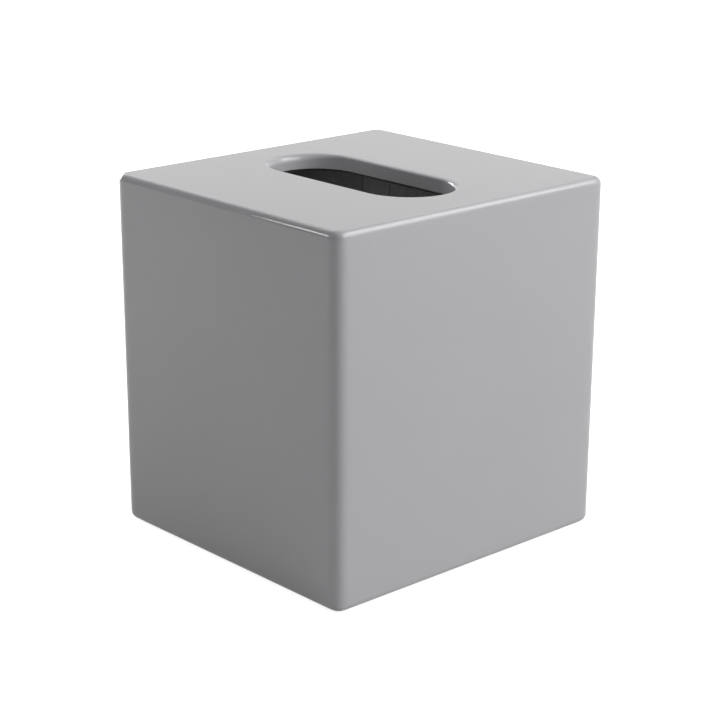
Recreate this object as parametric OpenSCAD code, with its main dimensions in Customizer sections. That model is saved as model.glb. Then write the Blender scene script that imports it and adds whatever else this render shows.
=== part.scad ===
/* [Body] */
// Width of the cover, from the left wall's face to the right wall's
body_w = 130; // [124:1:180]
// Depth of the cover, from the front wall's face to the back wall's
body_d = 139; // [124:1:180]
// Height of the cover above the surface that it stands on
body_h = 144; // [100:1:200]
// Thickness of the boards that make the walls and the top
board_t = 6; // [5.5:0.5:9]
// Radius of the rounded outside edges
edge_r = 3; // [2:0.5:4.5]

/* [Tissue slot] */
// Length of the slot between the upright walls at its ends
slot_l = 88; // [50:1:95]
// Width of the slot between its upright sides
slot_w = 37; // [20:1:45]
// Radius of the rolled rim around the slot
rim_r = 2.5; // [1:0.25:4]

/* [Joinery] */
// Leg of the three-cornered glue block in each inside corner
block_leg = 9; // [7:0.5:11]
// Width of the loose spline that crosses each mitre at the top
spline_w = 5; // [3:0.5:5]
// Thickness of the loose spline
spline_t = 1.5; // [1:0.25:1.75]
// How far a spline stops short of the inside corners
spline_stop = 4; // [2:0.5:20]

/* [Lining] */
// Thickness of the black felt on the inside
lining_t = 1; // [0.5:0.25:2]
// How far the wall linings stop above the lower rim
lining_rise = 4; // [1:0.5:12]
// How far the ceiling lining stands back from the slot
lining_back = 1; // [0.5:0.5:4]

/* [Feet] */
// Thickness of the felt foot pads
pad_t = 1.6; // [1:0.2:3]
// How far the walls' lower rim stands above the surface
rim_lift = 0.6; // [0.3:0.1:0.9]
// How far a foot pad is drawn in from the edges of its block
pad_inset = 0.4; // [0.2:0.1:0.8]

/* [Hidden] */
// Gap that the glue fills around a spline
glue_gap = 0.1;
// Gap that is left around the edges of each lining
cut_gap = 0.3;
// Overrun of a cut past the face that it opens
overrun = 1;
// Share of the mitre's length, from the outside corner, at which the spline crosses it
spline_place_share = 0.65;
// Sides that a full circle is drawn with
$fn = 96;

// Half sizes of the outside and of the room between the walls
half_w = body_w / 2;
half_d = body_d / 2;
room_half_w = half_w - board_t;
room_half_d = half_d - board_t;
// Height of the ceiling, which is the underside of the top board
ceiling_z = body_h - board_t;
// Height of the walls from their lower rim
wall_h = body_h - rim_lift;
// Radius of the slot's round ends, and how far their centres lie from the middle
slot_end_r = slot_w / 2;
slot_reach = slot_l / 2 - slot_end_r;
// Distance of the spline's middle from the outside faces that meet at the mitre
spline_place = board_t * spline_place_share;

lacquer_grey = [0.66, 0.66, 0.68];
felt_black = [0.07, 0.07, 0.08];
stain_black = [0.11, 0.11, 0.12];
ply_tan = [0.72, 0.6, 0.44];

// A block of the given size on the plane z = 0, with every edge rounded to radius r.
// Three crossing bars carry the faces, twelve rods the edges and eight balls the corners.
module rounded_block(w, d, h, r) {
    x = w / 2 - r;
    y = d / 2 - r;
    translate([-x, -y, 0]) cube([2 * x, 2 * y, h]);
    translate([-x - r, -y, r]) cube([w, 2 * y, h - 2 * r]);
    translate([-x, -y - r, r]) cube([2 * x, d, h - 2 * r]);
    for (sx = [-1, 1], sy = [-1, 1]) {
        translate([sx * x, sy * y, r]) cylinder(r = r, h = h - 2 * r);
    }
    for (sz = [r, h - r]) {
        for (sy = [-1, 1]) {
            translate([-x, sy * y, sz]) rotate([0, 90, 0]) cylinder(r = r, h = 2 * x);
        }
        for (sx = [-1, 1]) {
            translate([sx * x, y, sz]) rotate([90, 0, 0]) cylinder(r = r, h = 2 * y);
            for (sy = [-1, 1]) {
                translate([sx * x, sy * y, sz]) sphere(r = r);
            }
        }
    }
}

// The outside of the cover, solid
module outside() {
    translate([0, 0, rim_lift]) rounded_block(body_w, body_d, wall_h, edge_r);
}

// Mitred outline of a wall seen from above: the outside edge is long, the inside edge shorter by
// a board at each end. The wall stands at distance off from the middle and faces -Y.
module wall_plan(half_len, off) {
    polygon([
        [-half_len, -off],
        [half_len, -off],
        [half_len - board_t, -off + board_t],
        [-half_len + board_t, -off + board_t]
    ]);
}

// Mitred outline of a wall seen from its end, from the lower rim to the top
module wall_section(off) {
    polygon([
        [-off, rim_lift],
        [-off, body_h],
        [-off + board_t, ceiling_z],
        [-off + board_t, rim_lift]
    ]);
}

// Room that a wall facing -Y takes up, cut to its mitres on three sides
module wall_room(half_len, off) {
    intersection() {
        translate([0, 0, rim_lift]) linear_extrude(wall_h) wall_plan(half_len, off);
        translate([-half_len, 0, 0]) rotate([90, 0, 90]) linear_extrude(2 * half_len) wall_section(off);
    }
}

// Mitred section of the top board, half a width wide on each side
module top_section(half_len) {
    polygon([
        [-half_len, body_h],
        [half_len, body_h],
        [half_len - board_t, ceiling_z],
        [-half_len + board_t, ceiling_z]
    ]);
}

// Room that the top board takes up, cut to its mitres on four sides
module top_room() {
    intersection() {
        translate([0, half_d, 0]) rotate([90, 0, 0]) linear_extrude(body_d) top_section(half_w);
        translate([-half_w, 0, 0]) rotate([90, 0, 90]) linear_extrude(body_w) top_section(half_d);
    }
}

// Flat outline of the slot, let out by grow on every side
module slot_outline(grow) {
    square([2 * slot_reach, slot_w + 2 * grow], center = true);
    for (s = [-1, 1]) {
        translate([s * slot_reach, 0]) circle(r = slot_end_r + grow);
    }
}

// What the rolled rim takes off beyond the slot's upright wall: a square less a quarter circle
module rim_profile() {
    difference() {
        translate([slot_end_r, body_h - rim_r]) square([rim_r, rim_r]);
        translate([slot_end_r + rim_r, body_h - rim_r]) circle(r = rim_r);
    }
}

// All that the slot takes out of the top board
module slot_cut() {
    translate([0, 0, ceiling_z - overrun]) linear_extrude(board_t + 2 * overrun) slot_outline(0);
    for (s = [0, 180]) {
        rotate([0, 0, s]) {
            translate([slot_reach, 0, 0]) rotate([0, 0, -90]) rotate_extrude(angle = 180) rim_profile();
            translate([-slot_reach, 0, 0]) rotate([90, 0, 90]) linear_extrude(2 * slot_reach) rim_profile();
        }
    }
}

// A spline across the mitre between the top and a wall that faces -Y, let out by grow
module spline_bar(half_len, off, grow) {
    length = 2 * (half_len - board_t - spline_stop + grow);
    translate([0, -off + spline_place, body_h - spline_place]) rotate([45, 0, 0])
        cube([length, spline_w + 2 * grow, spline_t + 2 * grow], center = true);
}

// The wall that faces -Y, with the groove for its spline
module wall_board(half_len, off) {
    color(lacquer_grey) difference() {
        intersection() {
            children();
            wall_room(half_len, off);
        }
        spline_bar(half_len, off, glue_gap);
    }
}

module top_panel() {
    color(lacquer_grey) difference() {
        intersection() {
            outside();
            top_room();
        }
        slot_cut();
        for (s = [0, 180]) {
            rotate([0, 0, s]) spline_bar(half_w, half_d, glue_gap);
            rotate([0, 0, s + 90]) spline_bar(half_d, half_w, glue_gap);
        }
    }
}

module front_panel() {
    wall_board(half_w, half_d) outside();
}

module back_panel() {
    rotate([0, 0, 180]) wall_board(half_w, half_d) outside();
}

module left_panel() {
    rotate([0, 0, -90]) wall_board(half_d, half_w) rotate([0, 0, 90]) outside();
}

module right_panel() {
    rotate([0, 0, 90]) wall_board(half_d, half_w) rotate([0, 0, -90]) outside();
}

module front_top_spline() {
    color(ply_tan) spline_bar(half_w, half_d, 0);
}

module back_top_spline() {
    color(ply_tan) rotate([0, 0, 180]) spline_bar(half_w, half_d, 0);
}

module left_top_spline() {
    color(ply_tan) rotate([0, 0, -90]) spline_bar(half_d, half_w, 0);
}

module right_top_spline() {
    color(ply_tan) rotate([0, 0, 90]) spline_bar(half_d, half_w, 0);
}

// Three-cornered outline in the inside corner on side sx, sy, with its square corner drawn in by inset
// along both walls and its slanted side drawn in by the same amount
module corner_outline(sx, sy, inset) {
    leg = block_leg - inset * (2 + sqrt(2));
    corner_x = sx * (room_half_w - inset);
    corner_y = sy * (room_half_d - inset);
    polygon([
        [corner_x, corner_y],
        [corner_x - sx * leg, corner_y],
        [corner_x, corner_y - sy * leg]
    ]);
}

module corner_block(sx, sy) {
    color(stain_black) translate([0, 0, pad_t])
        linear_extrude(ceiling_z - pad_t) corner_outline(sx, sy, 0);
}

module foot_pad(sx, sy) {
    color(felt_black) linear_extrude(pad_t) corner_outline(sx, sy, pad_inset);
}

module front_left_block() {
    corner_block(-1, -1);
}

module front_right_block() {
    corner_block(1, -1);
}

module back_left_block() {
    corner_block(-1, 1);
}

module back_right_block() {
    corner_block(1, 1);
}

module front_left_pad() {
    foot_pad(-1, -1);
}

module front_right_pad() {
    foot_pad(1, -1);
}

module back_left_pad() {
    foot_pad(-1, 1);
}

module back_right_pad() {
    foot_pad(1, 1);
}

// Felt under the top board, cut around the slot and the four glue blocks
module top_lining() {
    color(felt_black) translate([0, 0, ceiling_z - lining_t]) linear_extrude(lining_t) difference() {
        square([2 * (room_half_w - cut_gap), 2 * (room_half_d - cut_gap)], center = true);
        slot_outline(lining_back);
        for (sx = [-1, 1], sy = [-1, 1]) {
            corner_outline(sx, sy, -cut_gap);
        }
    }
}

// Felt on the inside of a wall that faces -Y, between the two glue blocks
module wall_lining(half_len, off) {
    half = half_len - block_leg - cut_gap;
    low = rim_lift + lining_rise;
    color(felt_black) translate([-half, -off, low])
        cube([2 * half, lining_t, ceiling_z - lining_t - cut_gap - low]);
}

module front_lining() {
    wall_lining(room_half_w, room_half_d);
}

module back_lining() {
    rotate([0, 0, 180]) wall_lining(room_half_w, room_half_d);
}

module left_lining() {
    rotate([0, 0, -90]) wall_lining(room_half_d, room_half_w);
}

module right_lining() {
    rotate([0, 0, 90]) wall_lining(room_half_d, room_half_w);
}

top_panel();
front_panel();
back_panel();
left_panel();
right_panel();
front_top_spline();
back_top_spline();
left_top_spline();
right_top_spline();
front_left_block();
front_right_block();
back_left_block();
back_right_block();
top_lining();
front_lining();
back_lining();
left_lining();
right_lining();
front_left_pad();
front_right_pad();
back_left_pad();
back_right_pad();
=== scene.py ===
import math
import bpy
import numpy as np
from mathutils import Matrix, Vector


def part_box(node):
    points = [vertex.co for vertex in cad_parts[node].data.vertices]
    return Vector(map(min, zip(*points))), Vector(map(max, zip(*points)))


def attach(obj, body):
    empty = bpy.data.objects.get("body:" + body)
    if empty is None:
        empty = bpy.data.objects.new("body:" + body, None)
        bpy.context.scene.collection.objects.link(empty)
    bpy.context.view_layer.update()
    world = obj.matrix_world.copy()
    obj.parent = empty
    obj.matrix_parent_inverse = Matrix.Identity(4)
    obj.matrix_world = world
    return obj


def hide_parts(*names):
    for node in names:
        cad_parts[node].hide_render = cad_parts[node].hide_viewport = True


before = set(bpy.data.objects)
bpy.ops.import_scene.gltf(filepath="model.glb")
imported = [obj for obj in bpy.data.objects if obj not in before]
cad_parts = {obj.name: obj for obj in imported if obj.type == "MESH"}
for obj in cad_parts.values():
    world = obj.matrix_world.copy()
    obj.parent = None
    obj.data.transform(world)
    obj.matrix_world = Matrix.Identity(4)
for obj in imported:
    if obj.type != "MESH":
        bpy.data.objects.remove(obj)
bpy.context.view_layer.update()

# The boards, read from the frame
wall_low, wall_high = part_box("front_panel")
HALF_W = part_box("right_panel")[1].x
HALF_D = -wall_low.y
RIM_Z = wall_low.z
TOP_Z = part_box("top_panel")[1].z
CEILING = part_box("top_panel")[0].z
BOARD = wall_high.y - wall_low.y

# The upright edges, in metres: the core's radius, the shoulder's reach and its power, and how far in from a
# face the edge begins. Then the rounds of the box's top and lower edges, and the arris of cut wood
CORE_R = 0.0015
SHOULDER = 0.006
SHOULDER_POWER = 4
INSET = CORE_R + SHOULDER
TOP_ROUND = 0.003
RIM_ROUND = 0.003
ARRIS_R = 0.0004

# The slot: how far the centres of its round ends lie from the middle, its radius, and how far the round of
# its upper edge reaches out and drops, at its sides and at its ends
SLOT_REACH = 0.0255
SLOT_R = 0.0185
SLOT_SIDE_OUT, SLOT_SIDE_DROP = 0.0016, 0.001
SLOT_END_OUT, SLOT_END_DROP = 0.0025, 0.003

# The grey lacquer: colour, roughness and gloss under the coat, slow unevenness of colour and polish, the
# clear coat, and the fine peel and slow ripple of its surface
LACQUER_GREY = (0.43, 0.43, 0.445, 1)
LACQUER_ROUGH = 0.3
LACQUER_SPECULAR = 0.1
CLOUD_SIZE = 0.06
CLOUD_STRENGTH = 0.035
POLISH_RANGE = 0.08
COAT = 0.8
COAT_ROUGH = 0.06
COAT_IOR = 1.5
PEEL_SCALE, PEEL_HEIGHT = 350.0, 0.000002
RIPPLE_SCALE, RIPPLE_HEIGHT = 45.0, 0.00001

# The black stain on the boards' inner faces: colours and grain, how much rougher it is than the lacquer,
# and how far past the inner edges it reaches, fades and wanders
STAIN_BLACK = (0.03, 0.03, 0.031, 1)
STAIN_DARK = (0.006, 0.006, 0.007, 1)
STAIN_GRAIN, STAIN_PORE_DEPTH = 0.002, 0.00003
STAIN_MORE_ROUGH = 0.45
STAIN_REACH = 0.0002
STAIN_BLUR = 0.0002
STAIN_WANDER, WANDER_SCALE = 0.0002, 500.0

# Felt linings: colours, gap to the glue blocks at the ceiling, distance back from the slot, round of the
# edges, how far a wall's felt is pushed towards the blocks, round of the corners, depth of the dips, and
# the fibres
FELT_BLACK = (0.045, 0.045, 0.046, 1)
FELT_LINT = (0.075, 0.075, 0.08, 1)
FELT_GAP = 0.0003
FELT_BACK = 0.001
FELT_EDGE = 0.0002
FELT_PUSH = 0.00025
FELT_CORNER_R = 0.001
FELT_WAVE = 0.0001
FIBRE_SIZE = 0.0009
FIBRE_HEIGHT = 0.00012

# The crossing sines of the felt's dips: radians per metre along u and along v, and where each starts
DIPS = ((190, 60, 0), (-90, 230, 1), (410, 310, 2))

# Glue blocks and foot pads: the blocks' arris, the pads' corners and edges, and their colours
BLOCK_ARRIS = 0.0004
PAD_CORNER_R = 0.0006
PAD_EDGE = 0.0005
PAD_BLACK = (0.035, 0.034, 0.033, 1)
PAD_LINT = (0.12, 0.118, 0.115, 1)

# Two woods, as wood_material takes them: sawn wood stained black, with its grain up the block, and thin
# birch ply for the splines, pale and fine
BLOCK_WOOD = {
    "stretch": (1, 1, 0.05), "light": (0.032, 0.029, 0.027, 1), "dark": (0.008, 0.008, 0.008, 1),
    "grain_size": 0.0018, "patch_size": 0.02, "patchy": 0.4, "uneven": 0.25, "pore_depth": 0.00008,
}
PLY_WOOD = {
    "stretch": (0.08, 0.08, 1), "light": (0.62, 0.43, 0.25, 1), "dark": (0.42, 0.26, 0.13, 1),
    "grain_size": 0.0015, "patch_size": 0.015, "patchy": 0.15, "uneven": 0.2, "pore_depth": 0.00005,
}

# An eighth and a quarter of a turn, in radians
EIGHTH = math.pi / 4
QUARTER = math.pi / 2

# Steps on the boards: along an eighth of a turn, along a flat, round an arris, down the slot's wall and
# across the top's lower face
ARC_STEPS = 16
FLAT_STEPS = 96
ARRIS_STEPS = 4
SLOT_WALL_STEPS = 5
UNDER_STEPS = 6

# Steps on felt, pads and blocks: round a corner, along a side, over an edge and across a face
ROUND_STEPS = 6
SIDE_STEPS = 24
EDGE_STEPS = 5
ACROSS_STEPS = 20

# How strongly an upright edge's angles crowd at its start
TURN_POWER = 2.5

# Points closer together than MERGE are one point, and TINY keeps a division by nothing away
MERGE = 1e-8
TINY = 1e-30


# Shapes

def graded(half, steps):
    """Places from -half to half, closer together towards both ends: half times the mean of the step's own
    place from -1 to 1 and the sine of a quarter turn times that place."""
    t = np.linspace(-1, 1, steps + 1)
    return half * (t + np.sin(t * QUARTER)) / 2


def ways(steps):
    """Shares from 0 to 1, closer together towards both ends."""
    return (1 + graded(1, steps)) / 2


def unit(v):
    """Each vector divided by its length."""
    return v / np.linalg.norm(v, axis=-1, keepdims=True)


def stack(*parts):
    """Components of the grid's vectors, spread to one shape and laid side by side."""
    return np.stack(np.broadcast_arrays(*parts), axis=-1).astype(float)


def soft(n):
    """The place on the section of an upright edge where its outward normal is n, which is level: the core
    radius times n, plus the shoulder times the like place on the curve where the p-th powers of x and y
    add up to 1. A coordinate there is |n| to the power 1 / (p - 1), over the power 1 / p of the sum of
    |n| to the power p / (p - 1). So a face starts to turn gently, and most of the turn comes in the
    middle."""
    size = np.abs(n)
    total = (size ** (SHOULDER_POWER / (SHOULDER_POWER - 1))).sum(-1, keepdims=True)
    shoulder = np.sign(n) * size ** (1 / (SHOULDER_POWER - 1)) / total ** (1 / SHOULDER_POWER)
    return CORE_R * n + SHOULDER * shoulder


def eighth_turn():
    """Angles from 0 to an eighth of a turn, closer together at the start, where a soft edge is flat."""
    return EIGHTH * np.linspace(0, 1, ARC_STEPS + 1) ** TURN_POWER


def turned(v, quarter_turns):
    """Vectors turned about Z by a number of quarter turns, anticlockwise seen from above."""
    c, s = ((1, 0), (0, 1), (-1, 0), (0, -1))[quarter_turns % 4]
    return stack(c * v[..., 0] - s * v[..., 1], s * v[..., 0] + c * v[..., 1], v[..., 2])


def face_normals(corners):
    """Normal of each face from its corners: the cross product of its diagonals or of its two sides."""
    last = corners[:, -1] if corners.shape[1] > 3 else corners[:, 0]
    return unit(np.cross(corners[:, 2] - corners[:, 0], last - corners[:, 1]) + TINY)


def grid_piece(name, points, normals, closed_columns=True, flat_rows=()):
    """A closed piece from a grid of points, rows by columns. The rows form a ring, and so do the columns
    if closed_columns; otherwise the first and the last column are each closed by one face. Points that
    coincide are merged, so a quad may become a triangle or nothing. Every corner is shaded with its own
    normal, but the quads after a row in flat_rows, and the end faces, are shaded flat."""
    rows, columns = points.shape[:2]
    place = points.reshape(-1, 3)
    shade = normals.reshape(-1, 3)
    _, first, merged = np.unique(np.round(place / MERGE).astype(np.int64), axis=0,
                                 return_index=True, return_inverse=True)
    merged = merged.ravel()
    index = np.arange(rows * columns).reshape(rows, columns)
    below = np.roll(index, -1, axis=0)
    quads = np.stack([index, below, np.roll(below, -1, axis=1), np.roll(index, -1, axis=1)], -1)
    is_flat = np.zeros((rows, columns), bool)
    is_flat[list(flat_rows)] = True
    if not closed_columns:
        quads, is_flat = quads[:, :-1], is_flat[:, :-1]
    quads, is_flat = quads.reshape(-1, 4), is_flat.ravel()
    kept = merged[quads] != np.roll(merged[quads], -1, axis=1)
    whole, cut = kept.sum(1) == 4, kept.sum(1) == 3
    faces, loop_normals = [], []
    for corners, flat in ((quads[whole], is_flat[whole]),
                          (quads[cut][kept[cut]].reshape(-1, 3), is_flat[cut])):
        n = shade[corners]
        n[flat] = face_normals(place[corners[flat]])[:, None]
        faces += merged[corners].tolist()
        loop_normals.append(n.reshape(-1, 3))
    if not closed_columns:
        for ring in (index[::-1, 0], index[:, -1]):
            ring = ring[merged[ring] != np.roll(merged[ring], -1)]
            p = place[ring] - place[ring[0]]
            n = unit(np.cross(p, np.roll(p, -1, axis=0)).sum(0))
            faces.append(merged[ring].tolist())
            loop_normals.append(np.repeat(n[None], len(ring), axis=0))
    mesh = bpy.data.meshes.new(name)
    mesh.from_pydata(place[first].tolist(), [], faces)
    mesh.shade_smooth()
    mesh.normals_split_custom_set(np.concatenate(loop_normals).tolist())
    piece = bpy.data.objects.new(name, mesh)
    bpy.context.scene.collection.objects.link(piece)
    return piece


def top_edge(outline, level, g):
    """Places and normals over the rounded edge of the top. The box's outline, with its level normals, is
    carried up to the rounding; there a place is the outline plus the round's radius times the normal less
    the level normal, and the normal is level * cos g + up * sin g."""
    g = g[:, None, None]
    n = level * np.cos(g) + np.array((0, 0, 1)) * np.sin(g)
    return outline + (0, 0, TOP_Z - TOP_ROUND) + TOP_ROUND * (n - level), n


def wall_grid(half_len, off):
    """Points and normals of a wall board whose face looks along -Y at distance off from the middle.

    Rows run down the outside from the top mitre, under the rim and up the inside; columns run from one
    upright mitre to the other. A column's level normal is (tan a, 1) made unit length, and its place in
    the outline is the inset box's side plus the soft edge's place for that normal. The board ends where a,
    or the tilt over the top edge, is an eighth of a turn. Under the face, the section comes in along its
    normal by the rim's round times (1 - cos b) and drops by the round times sin b, with b from 0 to a
    quarter turn. The arris between the board's lower and inner faces is a quarter circle."""
    flat = half_len - INSET
    turn = eighth_turn()
    u = np.concatenate([np.full(ARC_STEPS, -flat), graded(flat, FLAT_STEPS), np.full(ARC_STEPS, flat)])
    a = np.concatenate([-turn[:0:-1], np.zeros(FLAT_STEPS + 1), turn[1:]])
    level = unit(stack(np.tan(a), 1, 0))
    outline = stack(u, off - INSET, 0) + soft(level)
    p, n = top_edge(outline, level, np.linspace(EIGHTH, 0, ARC_STEPS + 1))
    face_top, face_low = TOP_Z - TOP_ROUND, RIM_Z + RIM_ROUND
    down = (face_top + face_low) / 2 - graded((face_top - face_low) / 2, FLAT_STEPS)[1:, None]
    face = stack(outline[:, 0], outline[:, 1], down)
    b = np.linspace(0, QUARTER, ARC_STEPS + 1)[1:, None]
    low_n = stack(level[:, 0] * np.cos(b), level[:, 1] * np.cos(b), -np.sin(b))
    low_p = face[-1] + RIM_ROUND * (low_n - level)
    p = np.concatenate([p, face, low_p])
    n = np.concatenate([n, np.zeros_like(face) + level, low_n])

    # The last place on the lower face, the arris, and the inner face up to the ceiling
    quarter = np.linspace(0, QUARTER, ARRIS_STEPS + 1)
    inner = off - BOARD
    in_w = np.concatenate([[inner + 2 * ARRIS_R], inner + ARRIS_R * (1 - np.sin(quarter)),
                           np.full(FLAT_STEPS // 2, inner)])[:, None]
    in_z = np.concatenate([[RIM_Z], RIM_Z + ARRIS_R * (1 - np.cos(quarter)),
                           np.linspace(RIM_Z + ARRIS_R, CEILING, FLAT_STEPS // 2 + 1)[1:]])[:, None]
    lean = np.concatenate([[0], quarter, np.full(FLAT_STEPS // 2, QUARTER)])[:, None]
    in_p = stack(u * (half_len - off + in_w) / flat, in_w, in_z)
    in_n = stack(0 * u, -np.sin(lean), -np.cos(lean))

    # The grid's second axis points out of the face, which is -Y
    return np.concatenate([p, in_p]) * (1, -1, 1), np.concatenate([n, in_n]) * (1, -1, 1)


def wall_piece(name, half_len, off, quarter_turns):
    """One wall board: its grid turned to its side of the box."""
    points, normals = (turned(v, quarter_turns) for v in wall_grid(half_len, off))
    return grid_piece(name, points, normals, closed_columns=False, flat_rows=[len(points) - 1])


def stadium(x, y, radius):
    """Where rays from the middle towards (x, y) cross a slot outline of that radius: the centre that the
    crossing is measured from, and its outward direction. On a straight side the centre runs along the
    slot's axis; on a round end it stays at the end's centre, and the crossing solves a quadratic."""
    straight_x = radius * x / np.maximum(np.abs(y), TINY)
    on_side = np.abs(straight_x) <= SLOT_REACH
    end = np.sign(x) * SLOT_REACH
    square = x * x + y * y
    t = (x * end + np.sqrt(np.maximum((x * end) ** 2 - square * (end ** 2 - radius ** 2), 0))) / square
    centre = np.where(on_side, straight_x, end)
    out_x = np.where(on_side, 0, (t * x - end) / radius)
    out_y = np.where(on_side, np.sign(y), t * y / radius)
    return centre, out_x, out_y


def top_piece(name):
    """The top board with its slot, as one ring-shaped grid. Columns run round the box. Rows run from the
    mitre over the edge, across the flat to where rays from the middle meet the slot, over the slot edge's
    quarter ellipse, down the slot's wall and back under the board to the mitre. The ellipse grows from the
    slot's sides to its ends with the square of the outward direction's x."""
    turn = eighth_turn()
    sides = []
    for quarter_turns, (half_len, off) in enumerate([(HALF_W, HALF_D), (HALF_D, HALF_W)] * 2):
        flat = half_len - INSET
        u = np.concatenate([
            np.full(ARC_STEPS, -flat), graded(flat, FLAT_STEPS), np.full(ARC_STEPS - 1, flat),
        ])
        a = np.concatenate([-turn[:0:-1], np.zeros(FLAT_STEPS + 1), turn[1:-1]])
        base = turned(stack(u, INSET - off, 0 * u), quarter_turns)
        level = turned(unit(stack(np.tan(a), -1, 0 * u)), quarter_turns)
        sides.append(np.concatenate([base, level], axis=1))
    sides = np.concatenate(sides)
    (x, y, _), level = sides[:, :3].T, sides[:, 3:]
    edge, n = top_edge(sides[:, :3] + soft(level), level, np.linspace(EIGHTH, QUARTER, ARC_STEPS + 1))

    centre, out_x, out_y = stadium(x, y, SLOT_R + SLOT_END_OUT)
    reach = SLOT_SIDE_OUT + (SLOT_END_OUT - SLOT_SIDE_OUT) * out_x ** 2
    drop = SLOT_SIDE_DROP + (SLOT_END_DROP - SLOT_SIDE_DROP) * out_x ** 2
    lip_x, lip_y = centre + out_x * (SLOT_R + reach), out_y * (SLOT_R + reach)
    lip = stack(lip_x, lip_y, TOP_Z)
    flat_part = edge[-1] + (lip - edge[-1]) * ways(FLAT_STEPS // 2)[1:, None, None]

    # From 0 * drop, so that every step is a whole row, with an angle or a height for each column
    quarter = np.linspace(0 * drop, QUARTER, 2 * ARC_STEPS + 1)[1:]
    small = np.linspace(0 * drop, QUARTER, ARRIS_STEPS + 1)[1:]
    wall_z = np.linspace(TOP_Z - drop, CEILING + ARRIS_R, SLOT_WALL_STEPS + 1)[1:]
    radius = np.concatenate([
        SLOT_R + reach * (1 - np.sin(quarter)), np.full_like(wall_z, SLOT_R),
        SLOT_R + ARRIS_R * (1 - np.cos(small)),
    ])
    slot_z = np.concatenate([
        TOP_Z - drop * (1 - np.cos(quarter)), wall_z, CEILING + ARRIS_R * (1 - np.sin(small)),
    ])
    lean = np.arctan2(drop * np.sin(quarter), reach * np.cos(quarter))
    tilt = np.concatenate([lean, np.full_like(wall_z, QUARTER), QUARTER + small])
    slot_p = stack(centre + out_x * radius, out_y * radius, slot_z)
    slot_n = stack(-out_x * np.sin(tilt), -out_y * np.sin(tilt), np.cos(tilt))

    under_way = np.linspace(0, 1, UNDER_STEPS + 1)[1:, None]
    from_x, from_y = slot_p[-1, :, 0], slot_p[-1, :, 1]
    to_x = x * (HALF_W - BOARD) / (HALF_W - INSET)
    to_y = y * (HALF_D - BOARD) / (HALF_D - INSET)
    under = stack(from_x + (to_x - from_x) * under_way, from_y + (to_y - from_y) * under_way, CEILING)

    flat_n = np.zeros_like(flat_part) + (0, 0, 1)
    under_n = np.zeros_like(under) + (0, 0, -1)
    points = np.concatenate([edge, flat_part, slot_p, under])
    normals = np.concatenate([n, flat_n, slot_n, under_n])
    # The columns are taken clockwise, so that the faces look outwards
    return grid_piece(name, points[:, ::-1], normals[:, ::-1], flat_rows=[len(points) - 1])


def rounded_outline(corners, radius, side_steps):
    """The outline of a flat shape with straight sides, its corners anticlockwise, each rounded to a radius.
    Gives for each point the centre it is measured from and its outward direction, so that the outline
    moved in by d is centre + (radius - d) * direction. A corner's centre lies inside it by the radius
    times the sum of its sides' directions over one more than their dot product."""
    corners = np.array(corners, float)
    side = np.roll(corners, -1, axis=0) - corners
    out = unit(np.stack([side[:, 1], -side[:, 0]], -1))
    before = np.roll(out, 1, axis=0)
    dot = (before * out).sum(1)
    centre = corners - radius * (before + out) / (1 + dot[:, None])
    turn = np.arctan2(before[:, 0] * out[:, 1] - before[:, 1] * out[:, 0], dot)
    angle = (np.arctan2(before[:, 1], before[:, 0])[:, None]
             + turn[:, None] * np.linspace(0, 1, ROUND_STEPS + 1))
    round_c = np.repeat(centre[:, None], ROUND_STEPS + 1, axis=1)
    apart = np.roll(centre, -1, axis=0) - centre
    side_c = centre[:, None] + apart[:, None] * ways(side_steps)[1:-1, None]
    side_n = np.repeat(out[:, None], side_steps - 1, axis=1)
    centres = np.concatenate([round_c, side_c], axis=1).reshape(-1, 2)
    outward = np.concatenate([stack(np.cos(angle), np.sin(angle)), side_n], axis=1).reshape(-1, 2)
    return centres, outward


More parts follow.
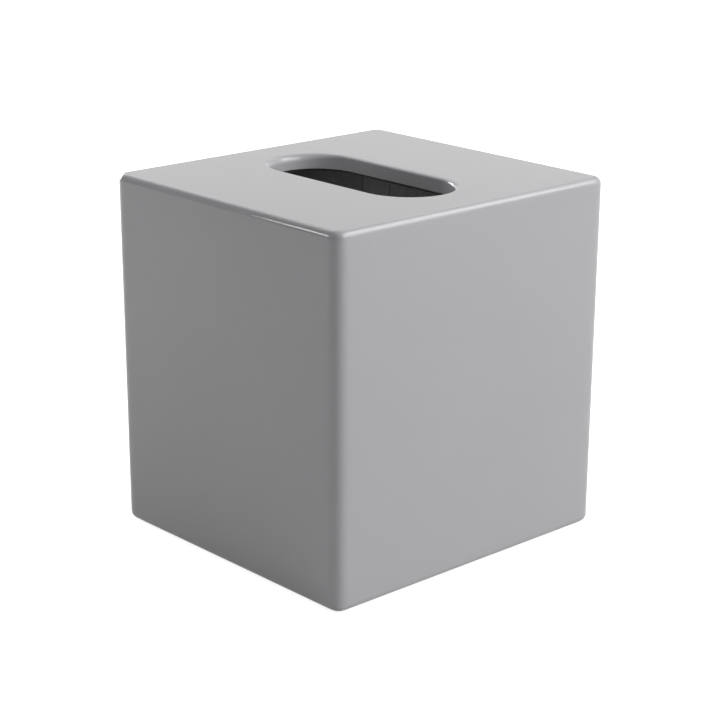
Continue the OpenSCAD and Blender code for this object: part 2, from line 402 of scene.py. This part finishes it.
def slab_piece(name, outline, radius, low, high, edge, axes=np.eye(3), hole=None, wave=0):
    """A flat piece with softly rounded edges. In its own plane its outline is centre + radius * direction.
    Between its faces, low and high, its edge is a quarter circle at each face. The high face dips by wave
    times the mean of three crossing sines, each brought to run from 0 to 1. A hole is given as a radius for
    stadium(). The rows of axes are the directions of the plane's u and v and of the height in the frame."""
    centre, out = outline
    quarter = np.linspace(0, QUARTER, EDGE_STEPS + 1)
    inset = np.concatenate([edge * (1 - np.sin(quarter)), edge * (1 - np.cos(quarter))])[:, None]
    height = np.concatenate([low + edge * (1 - np.cos(quarter)),
                             high - edge * (1 - np.sin(quarter))])[:, None]
    lean = np.concatenate([quarter - QUARTER, quarter])[:, None]
    across = ways(ACROSS_STEPS)[1:-1, None, None]

    def ring(centre, out, radius, sign):
        """The edge's rows round an outline, and their normals. The sign is -1 for a hole."""
        flat = centre + out * (radius - sign * inset[..., None])
        p = stack(flat[..., 0], flat[..., 1], height)
        n = stack(sign * out[..., 0] * np.cos(lean), sign * out[..., 1] * np.cos(lean), np.sin(lean))
        return p, n

    outer, outer_n = ring(centre, out, radius, 1)
    if hole is None:
        inner = np.zeros_like(outer[:2]) + (*centre.mean(0), 0)
        inner[:, :, 2] = np.array([low, high])[:, None]
        inner_n = np.zeros_like(inner) + (0, 0, 1)
        inner_n[0] *= -1
    else:
        c, out_x, out_y = stadium(centre[:, 0], centre[:, 1], hole)
        inner, inner_n = ring(stack(c, 0), stack(out_x, out_y), hole, -1)
    up = outer[-1] + (inner[-1] - outer[-1]) * across
    down = inner[0] + (outer[0] - inner[0]) * across
    flat_n = np.zeros_like(up) + (0, 0, 1)
    points = np.concatenate([outer, up, inner[::-1], down])
    normals = np.concatenate([outer_n, flat_n, inner_n[::-1], -flat_n])

    u, v, h = points[..., 0], points[..., 1], points[..., 2]
    dips = len(DIPS)
    for along_u, along_v, start in DIPS:
        dips = dips + np.sin(along_u * u + along_v * v + start)
    points[..., 2] = h - wave * dips / (2 * len(DIPS)) * (h - low) / (high - low)
    return grid_piece(name, points[:, ::-1] @ axes, unit(normals[:, ::-1] @ axes))


def box_along(node, axes):
    """Lowest and highest corner of a CAD node, measured along the rows of axes."""
    ends = np.array([axes @ np.array(corner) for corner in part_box(node)])
    return ends.min(0), ends.max(0)


def wall_felt(name, node, inward):
    """The felt on a wall's inside: a rectangle in the plane of the wall, its height pointing inwards. Its
    upright edges are pushed towards the glue blocks. Gives the piece, its flat size and its area."""
    inward, upright = np.array(inward, float), np.array((0, 0, 1.0))
    axes = np.array([np.cross(upright, inward), upright, inward])
    (u0, v0, h0), (u1, v1, h1) = box_along(node, axes)
    left, right = u0 - FELT_PUSH, u1 + FELT_PUSH
    outline = rounded_outline([(left, v0), (right, v0), (right, v1), (left, v1)], FELT_CORNER_R, SIDE_STEPS)
    piece = slab_piece(name, outline, FELT_CORNER_R, h0, h1, FELT_EDGE, axes, wave=FELT_WAVE)
    return piece, (u1 - u0, v1 - v0), (u1 - u0) * (v1 - v0)


def ceiling_felt(name, node):
    """The felt under the top: a rectangle with its four corners cut off beside the glue blocks, with a
    hole round the slot. It is laid with its high face down, so its plane is turned over about X. Along a
    cut, x + y is that of the block's slanted face less the gap's diagonal. Gives the piece, its flat size
    and its area, which is the rectangle's less four right triangles and the hole."""
    axes = np.array([(1, 0, 0), (0, -1, 0), (0, 0, -1.0)])
    (u0, v0, h0), (u1, v1, h1) = box_along(node, axes)
    block_low, block_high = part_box("back_right_block")
    cut = block_low.x + block_high.y - FELT_GAP * math.sqrt(2)
    x, y = cut - v1, cut - u1
    corners = [(x, -v1), (u1, -y), (u1, y), (x, v1), (-x, v1), (-u1, y), (-u1, -y), (-x, -v1)]
    outline = rounded_outline(corners, FELT_CORNER_R, SIDE_STEPS)
    hole = SLOT_R + FELT_BACK
    piece = slab_piece(name, outline, FELT_CORNER_R, h0, h1, FELT_EDGE, axes, hole, FELT_WAVE)
    width, length = u1 - u0, v1 - v0
    corner_area = 2 * (u1 + v1 - cut) ** 2
    slot_area = math.pi * hole ** 2 + 4 * hole * SLOT_REACH
    return piece, (width, length), width * length - corner_area - slot_area


def corner_piece(name, node, corner_r, edge):
    """A three-cornered upright piece in an inside corner of the box, on the footprint of its CAD node: the
    square corner is the one farthest from the middle, and its legs are the node's sides."""
    low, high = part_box(node)
    out_x, in_x = (high.x, low.x) if high.x > 0 else (low.x, high.x)
    out_y, in_y = (high.y, low.y) if high.y > 0 else (low.y, high.y)
    corners = [(out_x, out_y), (in_x, out_y), (out_x, in_y)]
    if out_x * out_y < 0:
        corners.reverse()
    outline = rounded_outline(corners, corner_r, SIDE_STEPS // 4)
    return slab_piece(name, outline, corner_r, low.z, high.z, edge)


# Materials

def nodes_of(name):
    """A new material, its node tree and its Principled BSDF."""
    material = bpy.data.materials.new(name)
    material.use_nodes = True
    return material, material.node_tree, material.node_tree.nodes["Principled BSDF"]


def add(tree, kind, inputs=(), **settings):
    """A node in the tree with some settings. inputs maps an input's name or number to its value or to the
    output that it is linked to."""
    node = tree.nodes.new(kind)
    for key, value in settings.items():
        setattr(node, key, value)
    for key, value in dict(inputs).items():
        if isinstance(value, bpy.types.NodeSocket):
            tree.links.new(value, node.inputs[key])
        else:
            node.inputs[key].default_value = value
    return node


def math_node(tree, operation, *values, clamp=False):
    """The output of a Math node."""
    return add(tree, "ShaderNodeMath", enumerate(values), operation=operation, use_clamp=clamp).outputs[0]


def times(tree, first, second):
    """The output of a Math node that multiplies."""
    return math_node(tree, "MULTIPLY", first, second)


def mix_colour(tree, factor, first, second):
    """The output of a Mix node between two colours, whose sockets are its seventh and eighth."""
    return add(tree, "ShaderNodeMix", {0: factor, 6: first, 7: second}, data_type="RGBA").outputs[2]


def noise(tree, vector, scale, detail=2.0, roughness=0.5, distortion=0.0):
    """The value of a Noise texture over a vector."""
    node = add(tree, "ShaderNodeTexNoise", {"Vector": vector, "Scale": scale, "Detail": detail,
                                            "Roughness": roughness, "Distortion": distortion})
    return node.outputs[0]


def object_place(tree):
    """A point's place in Object coordinates."""
    return add(tree, "ShaderNodeTexCoord").outputs["Object"]


def add_bump(tree, shader, height):
    """Carries a height in metres to the shader's Normal."""
    bump = add(tree, "ShaderNodeBump", {"Height": height, "Distance": 1.0, "Strength": 1.0})
    tree.links.new(bump.outputs[0], shader.inputs["Normal"])


def new_group(name, inputs, outputs):
    """An empty shader node group with its sockets: its tree, its inputs' node and its outputs' node."""
    tree = bpy.data.node_groups.new(name, "ShaderNodeTree")
    for label, kind, value in inputs:
        socket = tree.interface.new_socket(label, in_out="INPUT", socket_type="NodeSocket" + kind)
        if value is not None:
            socket.default_value = value
    for label, kind in outputs:
        tree.interface.new_socket(label, in_out="OUTPUT", socket_type="NodeSocket" + kind)
    return tree, tree.nodes.new("NodeGroupInput"), tree.nodes.new("NodeGroupOutput")


def placed(tree, group, **values):
    """The group as a node in a material's tree, with its own values for its inputs."""
    return add(tree, "ShaderNodeGroup", values, node_tree=group)


def cloudy_group():
    """Slow unevenness of a finish. The cloud is seven tenths slow noise and three tenths noise four times
    finer, from 0 to 1. The colour is multiplied by one plus the cloud's distance from a half times twice
    the strength."""
    tree, inside, outside = new_group(
        "cloudy finish",
        [("Place", "Vector", None), ("Colour", "Color", (0.5, 0.5, 0.5, 1)), ("Size", "Float", 0.05),
         ("Strength", "Float", 0.05)],
        [("Colour", "Color"), ("Cloud", "Float")])
    scale = math_node(tree, "DIVIDE", 1.0, inside.outputs["Size"])
    slow = noise(tree, inside.outputs["Place"], scale, detail=1.0)
    finer = noise(tree, inside.outputs["Place"], times(tree, scale, 4.0), detail=3.0)
    cloud = math_node(tree, "ADD", times(tree, slow, 0.7), times(tree, finer, 0.3))
    shade = math_node(tree, "MULTIPLY_ADD", math_node(tree, "SUBTRACT", cloud, 0.5),
                      times(tree, inside.outputs["Strength"], 2.0), 1.0)
    tint = add(tree, "ShaderNodeVectorMath", {0: inside.outputs["Colour"], "Scale": shade},
               operation="SCALE")
    tree.links.new(tint.outputs[0], outside.inputs["Colour"])
    tree.links.new(cloud, outside.inputs["Cloud"])
    return tree


def fibre_group():
    """Pressed felt: two layers of noise drawn out into strands that cross each other. A strand runs where
    its noise is near a half, so the height is one less eight times the smaller distance from a half, and
    never under 0. The colour goes over to the lint's by the height's cube times the amount."""
    tree, inside, outside = new_group(
        "felt fibres",
        [("Place", "Vector", None), ("Colour", "Color", (0.02, 0.02, 0.02, 1)),
         ("Lint", "Color", (0.1, 0.1, 0.1, 1)), ("Size", "Float", 0.0008), ("Amount", "Float", 0.3)],
        [("Colour", "Color"), ("Height", "Float")])
    scale = math_node(tree, "DIVIDE", 1.0, inside.outputs["Size"])
    strands = []
    for turn, stretch in (((0.4, 0.9, 0.3), (1, 0.16, 0.5)), ((1.1, 0.2, 1.7), (0.2, 1, 0.4))):
        laid = add(tree, "ShaderNodeMapping", {"Vector": inside.outputs["Place"], "Rotation": turn,
                                               "Scale": stretch})
        strand = noise(tree, laid.outputs[0], scale, detail=3.0, roughness=0.6, distortion=1.2)
        strands.append(math_node(tree, "ABSOLUTE", math_node(tree, "SUBTRACT", strand, 0.5)))
    nearest = math_node(tree, "MINIMUM", *strands)
    height = math_node(tree, "SUBTRACT", 1.0, times(tree, nearest, 8.0), clamp=True)
    lint = times(tree, math_node(tree, "POWER", height, 3.0), inside.outputs["Amount"])
    tree.links.new(mix_colour(tree, lint, inside.outputs["Colour"], inside.outputs["Lint"]),
                   outside.inputs["Colour"])
    tree.links.new(height, outside.inputs["Height"])
    return tree


def grain_group():
    """Wood grain, its noise drawn out by the stretch of its coordinates. Pores are noise five times finer
    than the size, cubed, over growth bands two and a half times wider. The colour goes from light to dark
    by 0.6 times the bands plus 1.6 times the pores, and the height is one less the pores."""
    tree, inside, outside = new_group(
        "wood grain",
        [("Place", "Vector", None), ("Stretch", "Vector", (1, 1, 0.05)),
         ("Light", "Color", (0.6, 0.4, 0.2, 1)), ("Dark", "Color", (0.4, 0.25, 0.12, 1)),
         ("Size", "Float", 0.002)],
        [("Colour", "Color"), ("Height", "Float")])
    along = add(tree, "ShaderNodeVectorMath", {0: inside.outputs["Place"], 1: inside.outputs["Stretch"]},
                operation="MULTIPLY").outputs[0]
    scale = math_node(tree, "DIVIDE", 1.0, inside.outputs["Size"])
    bands = noise(tree, along, times(tree, scale, 0.4), distortion=0.8)
    fine = noise(tree, along, times(tree, scale, 5.0), detail=3.0, roughness=0.6)
    pores = math_node(tree, "POWER", fine, 3.0)
    dark = math_node(tree, "ADD", times(tree, bands, 0.6), times(tree, pores, 1.6), clamp=True)
    tree.links.new(mix_colour(tree, dark, inside.outputs["Light"], inside.outputs["Dark"]),
                   outside.inputs["Colour"])
    tree.links.new(math_node(tree, "SUBTRACT", 1.0, pores), outside.inputs["Height"])
    return tree


def lacquer_material(cloudy, grain):
    """Gloss grey lacquer outside, black stain on the bare wood inside. The inside is where a point is
    nearer the middle than the walls' inner faces and lower than the top's. The mask is the smallest of the
    three depths, plus a little wander and the stain's reach, over the blur, held between 0 and 1."""
    material, tree, shader = nodes_of("grey lacquer")
    place = object_place(tree)
    axis = add(tree, "ShaderNodeSeparateXYZ", {0: place})
    wander = times(tree, math_node(tree, "SUBTRACT", noise(tree, place, WANDER_SCALE), 0.5), STAIN_WANDER)
    depths = [
        math_node(tree, "SUBTRACT", HALF_W - BOARD, math_node(tree, "ABSOLUTE", axis.outputs[0])),
        math_node(tree, "SUBTRACT", HALF_D - BOARD, math_node(tree, "ABSOLUTE", axis.outputs[1])),
        math_node(tree, "SUBTRACT", CEILING, axis.outputs[2]),
    ]
    least = math_node(tree, "MINIMUM", math_node(tree, "MINIMUM", depths[0], depths[1]), depths[2])
    stained = math_node(tree, "MULTIPLY_ADD", math_node(tree, "ADD", least, wander), 1 / STAIN_BLUR,
                        STAIN_REACH / STAIN_BLUR, clamp=True)
    finish = placed(tree, cloudy, Place=place, Colour=LACQUER_GREY, Size=CLOUD_SIZE,
                    Strength=CLOUD_STRENGTH)
    bare = placed(tree, grain, Place=place, Stretch=(1, 1, 0.06), Light=STAIN_BLACK, Dark=STAIN_DARK,
                  Size=STAIN_GRAIN)
    colour = mix_colour(tree, stained, finish.outputs["Colour"], bare.outputs["Colour"])
    tree.links.new(colour, shader.inputs["Base Color"])
    polish = math_node(tree, "MULTIPLY_ADD", finish.outputs["Cloud"], POLISH_RANGE,
                       LACQUER_ROUGH - POLISH_RANGE / 2)
    rough = math_node(tree, "ADD", polish, times(tree, stained, STAIN_MORE_ROUGH))
    tree.links.new(rough, shader.inputs["Roughness"])
    tree.links.new(math_node(tree, "MULTIPLY_ADD", stained, -COAT, COAT), shader.inputs["Coat Weight"])
    shader.inputs["Specular IOR Level"].default_value = LACQUER_SPECULAR
    shader.inputs["Coat Roughness"].default_value = COAT_ROUGH
    shader.inputs["Coat IOR"].default_value = COAT_IOR
    peel = times(tree, noise(tree, place, PEEL_SCALE, detail=1.0), PEEL_HEIGHT)
    ripple = times(tree, noise(tree, place, RIPPLE_SCALE, detail=1.0), RIPPLE_HEIGHT)
    pores = times(tree, bare.outputs["Height"], times(tree, stained, STAIN_PORE_DEPTH))
    add_bump(tree, shader, math_node(tree, "ADD", math_node(tree, "ADD", peel, ripple), pores))
    return material


def felt_material(name, fibres, colour, lint, rough, sheen):
    """Felt: crossing fibres on the colour and as a bump, no gloss, and a little sheen."""
    material, tree, shader = nodes_of(name)
    place = object_place(tree)
    felt = placed(tree, fibres, Place=place, Colour=colour, Lint=lint, Size=FIBRE_SIZE, Amount=0.5)
    tree.links.new(felt.outputs["Colour"], shader.inputs["Base Color"])
    shader.inputs["Roughness"].default_value = rough
    shader.inputs["Sheen Weight"].default_value = sheen
    shader.inputs["Sheen Roughness"].default_value = 0.5
    shader.inputs["Specular IOR Level"].default_value = 0.2
    add_bump(tree, shader, times(tree, felt.outputs["Height"], FIBRE_HEIGHT))
    return material


def wood_material(name, grain, cloudy, stretch, light, dark, grain_size, patch_size, patchy, uneven,
                  pore_depth):
    """Plain or stained wood: its grain on the colour and as a bump, and patches of the colour and of the
    roughness, which is a half plus the cloud times uneven."""
    material, tree, shader = nodes_of(name)
    place = object_place(tree)
    wood = placed(tree, grain, Place=place, Stretch=stretch, Light=light, Dark=dark, Size=grain_size)
    patches = placed(tree, cloudy, Place=place, Colour=wood.outputs["Colour"], Size=patch_size,
                     Strength=patchy)
    tree.links.new(patches.outputs["Colour"], shader.inputs["Base Color"])
    rough = math_node(tree, "MULTIPLY_ADD", patches.outputs["Cloud"], uneven, 0.5)
    tree.links.new(rough, shader.inputs["Roughness"])
    add_bump(tree, shader, times(tree, wood.outputs["Height"], pore_depth))
    return material


# The studio

# Camera at the photograph's angle: its place, the direction it looks from and its turn about its own axis
# in degrees, its lens in millimetres and its shift
CAMERA_PLACE = (0.5541, -0.5054, 0.3068)
CAMERA_AZIMUTH = 47.138
CAMERA_ELEVATION = 19.643
CAMERA_ROLL = 0.405
CAMERA_LENS = 98.46
CAMERA_SHIFT = (-0.0208, 0.0972)

# Each lamp: name, place, point it looks at, width and height in metres, watts, spread in degrees, and
# whether matt surfaces see it, gloss, or both. Gloss sees the right softbox without its lower part, which
# would be a white glare all over the top when seen from the left.
LAMPS = [
    ("right softbox", (1.055, 0.711, 0.875), (0, 0, 0.08), 1.28, 1.28, 19.8, 180, "matt"),
    ("right softbox in the gloss", (0.958, 0.6455, 1.0234), (-0.0966, -0.0651, 0.2288),
     1.28, 0.9, 13.9, 180, "gloss"),
    ("back softbox", (-0.418, 0.668, 0.696), (0, 0, 0.08), 0.3, 0.3, 0.28, 180, "both"),
    ("back right softbox", (0.26, 0.644, 0.799), (0, 0, 0.08), 0.45, 0.45, 1.3, 180, "both"),
    ("left back softbox", (-0.754, 0.23, 0.696), (0, 0, 0.08), 0.5, 0.5, 0.7, 180, "both"),
    ("left softbox", (-0.978, 0.0, 0.288), (0, 0, 0.08), 0.5, 0.5, 5.8, 180, "both"),
    ("front left lamp", (-0.38, -0.47, 0.33), (0.03, -0.07, 0.144), 0.12, 0.14, 0.42, 180, "both"),
    ("light inside the box", (0.045, -0.045, 0.02), (-0.045, 0.0625, 0.07), 0.03, 0.03, 0.038, 70, "both"),
]

# The world's strength on the object; the strengths that gloss shows overhead and in front, and the Z and
# the Y of a direction between which they set in
AMBIENT = 0.25
OVERHEAD = 0.65
DIM_FROM, DIM_TO = 0.1, 0.3
ROOM = 0.1
ROOM_FROM, ROOM_TO = -0.3, 0.1

# The floor: half its width, its colour, its glow where it is seen and where gloss shows it, and how far in
# from a wall's face the glow stops
FLOOR_HALF = 4.0
FLOOR_GREY = (0.55, 0.55, 0.55, 1)
FLOOR_GLOW = 0.87
FLOOR_MIRRORED = 0.3
GLOW_UNDER_WALL = 0.0055


def make_camera():
    """A camera looking along the direction of its azimuth and elevation, turned by its roll."""
    azimuth, elevation = math.radians(CAMERA_AZIMUTH), math.radians(CAMERA_ELEVATION)
    back = Vector((math.sin(azimuth) * math.cos(elevation), -math.cos(azimuth) * math.cos(elevation),
                   math.sin(elevation)))
    right = Vector((math.cos(azimuth), math.sin(azimuth), 0))
    level = Matrix((right, back.cross(right), back)).transposed()
    data = bpy.data.cameras.new("camera")
    data.lens = CAMERA_LENS
    data.sensor_width = 36
    data.shift_x, data.shift_y = CAMERA_SHIFT
    data.clip_start, data.clip_end = 0.01, 50
    camera = bpy.data.objects.new("camera", data)
    bpy.context.scene.collection.objects.link(camera)
    roll = Matrix.Rotation(math.radians(CAMERA_ROLL), 3, "Z")
    camera.matrix_world = Matrix.Translation(CAMERA_PLACE) @ (level @ roll).to_4x4()
    bpy.context.scene.camera = camera


def make_lamps():
    """Softboxes as area lamps, each turned to look at its point and hidden from what doesn't see it."""
    for name, place, aim, width, height, watts, spread, seen_by in LAMPS:
        data = bpy.data.lights.new(name, "AREA")
        data.shape = "RECTANGLE"
        data.size, data.size_y, data.energy = width, height, watts
        data.spread = math.radians(spread)
        lamp = bpy.data.objects.new(name, data)
        lamp.location = place
        lamp.rotation_euler = (Vector(aim) - Vector(place)).to_track_quat("-Z", "Y").to_euler()
        lamp.visible_diffuse = seen_by != "gloss"
        lamp.visible_glossy = seen_by != "matt"
        bpy.context.scene.collection.objects.link(lamp)


def seen_directly(tree):
    """1 for camera, glossy and transmission rays, which show the background, and 0 for the rest."""
    path = add(tree, "ShaderNodeLightPath").outputs
    seen = math_node(tree, "MAXIMUM", path["Is Camera Ray"], path["Is Glossy Ray"])
    return math_node(tree, "MAXIMUM", seen, path["Is Transmission Ray"])


def carried_over(tree, value, old, new):
    """The output of a node that carries a value from an old range over to a new one."""
    ranges = {"From Min": old[0], "From Max": old[1], "To Min": new[0], "To Max": new[1]}
    return add(tree, "ShaderNodeMapRange", {"Value": value, **ranges}).outputs[0]


def make_world():
    """White where it is seen and a dim even light on the object. Gloss shows it dimmer overhead and dark in
    front. A direction's Z is the sine of its height over the horizon, and its Y points to the back."""
    world = bpy.data.worlds.new("studio")
    bpy.context.scene.world = world
    world.use_nodes = True
    tree = world.node_tree
    tree.nodes["Background"].inputs["Color"].default_value = (1, 1, 1, 1)
    way = add(tree, "ShaderNodeSeparateXYZ", {0: add(tree, "ShaderNodeTexCoord").outputs["Generated"]})
    overhead = carried_over(tree, way.outputs[2], (DIM_FROM, DIM_TO), (1.0, OVERHEAD))
    room = carried_over(tree, way.outputs[1], (ROOM_FROM, ROOM_TO), (ROOM, 1.0))
    camera = add(tree, "ShaderNodeLightPath").outputs["Is Camera Ray"]
    shown = math_node(tree, "MAXIMUM", times(tree, overhead, room), camera)
    level = add(tree, "ShaderNodeMix", {0: seen_directly(tree), 2: AMBIENT, 3: shown}).outputs[0]
    tree.links.new(level, tree.nodes["Background"].inputs["Strength"])


def make_floor():
    """A plain pale floor that keeps the object's shadow. It glows where it is seen, so that it is white
    away from the shadow, less where gloss shows it, and not at all inside the box."""
    corners = [(FLOOR_HALF * x, FLOOR_HALF * y, 0) for x, y in ((-1, -1), (1, -1), (1, 1), (-1, 1))]
    mesh = bpy.data.meshes.new("floor")
    mesh.from_pydata(corners, [], [(0, 1, 2, 3)])
    floor = bpy.data.objects.new("floor", mesh)
    bpy.context.scene.collection.objects.link(floor)
    material, tree, shader = nodes_of("pale floor")
    shader.inputs["Base Color"].default_value = FLOOR_GREY
    shader.inputs["Roughness"].default_value = 0.9
    shader.inputs["Specular IOR Level"].default_value = 0
    shader.inputs["Emission Color"].default_value = (1, 1, 1, 1)
    path = add(tree, "ShaderNodeLightPath").outputs
    seen = times(tree, path["Is Camera Ray"], FLOOR_GLOW)
    mirrored = times(tree, path["Is Glossy Ray"], FLOOR_MIRRORED)
    axis = add(tree, "ShaderNodeSeparateXYZ", {0: object_place(tree)})
    past_x = math_node(tree, "GREATER_THAN", math_node(tree, "ABSOLUTE", axis.outputs[0]),
                       HALF_W - GLOW_UNDER_WALL)
    past_y = math_node(tree, "GREATER_THAN", math_node(tree, "ABSOLUTE", axis.outputs[1]),
                       HALF_D - GLOW_UNDER_WALL)
    outside = math_node(tree, "MAXIMUM", past_x, past_y)
    glow = times(tree, math_node(tree, "MAXIMUM", seen, mirrored), outside)
    tree.links.new(glow, shader.inputs["Emission Strength"])
    mesh.materials.append(material)


# The pieces

def hand_over(piece, node, finish):
    """The piece stands for its CAD node, rides on the one body and has its finish."""
    piece.data.materials.append(finish)
    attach(piece, "root")
    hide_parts(node)


make_camera()
make_lamps()
make_world()
make_floor()

cloudy, fibres, grain = cloudy_group(), fibre_group(), grain_group()
lacquer = lacquer_material(cloudy, grain)
black_felt = felt_material("black felt", fibres, FELT_BLACK, FELT_LINT, rough=0.95, sheen=0.25)
pad_felt = felt_material("pad felt", fibres, PAD_BLACK, PAD_LINT, rough=0.9, sheen=0.2)
stained_wood = wood_material("black stained wood", grain, cloudy, **BLOCK_WOOD)
ply = wood_material("spline ply", grain, cloudy, **PLY_WOOD)

boards = {
    "front_panel": wall_piece("front_board", HALF_W, HALF_D, 0),
    "right_panel": wall_piece("right_board", HALF_D, HALF_W, 1),
    "back_panel": wall_piece("back_board", HALF_W, HALF_D, 2),
    "left_panel": wall_piece("left_board", HALF_D, HALF_W, 3),
    "top_panel": top_piece("top_board"),
}
for node, piece in boards.items():
    hand_over(piece, node, lacquer)

inwards = {"front": (0, 1, 0), "back": (0, -1, 0), "left": (1, 0, 0), "right": (-1, 0, 0)}
for side, inward in inwards.items():
    felt, flat, area = wall_felt(side + "_felt", side + "_lining", inward)
    hand_over(felt, side + "_lining", black_felt)
felt, flat, area = ceiling_felt("ceiling_felt", "top_lining")
hand_over(felt, "top_lining", black_felt)

for corner in ("front_left", "front_right", "back_left", "back_right"):
    block = corner_piece(corner + "_glue_block", corner + "_block", BLOCK_ARRIS, BLOCK_ARRIS)
    hand_over(block, corner + "_block", stained_wood)
    pad = corner_piece(corner + "_felt_pad", corner + "_pad", PAD_CORNER_R, PAD_EDGE)
    hand_over(pad, corner + "_pad", pad_felt)

for side in inwards:
    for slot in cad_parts[side + "_top_spline"].material_slots:
        slot.material = ply

bpy.context.scene.view_settings.view_transform = "Standard"
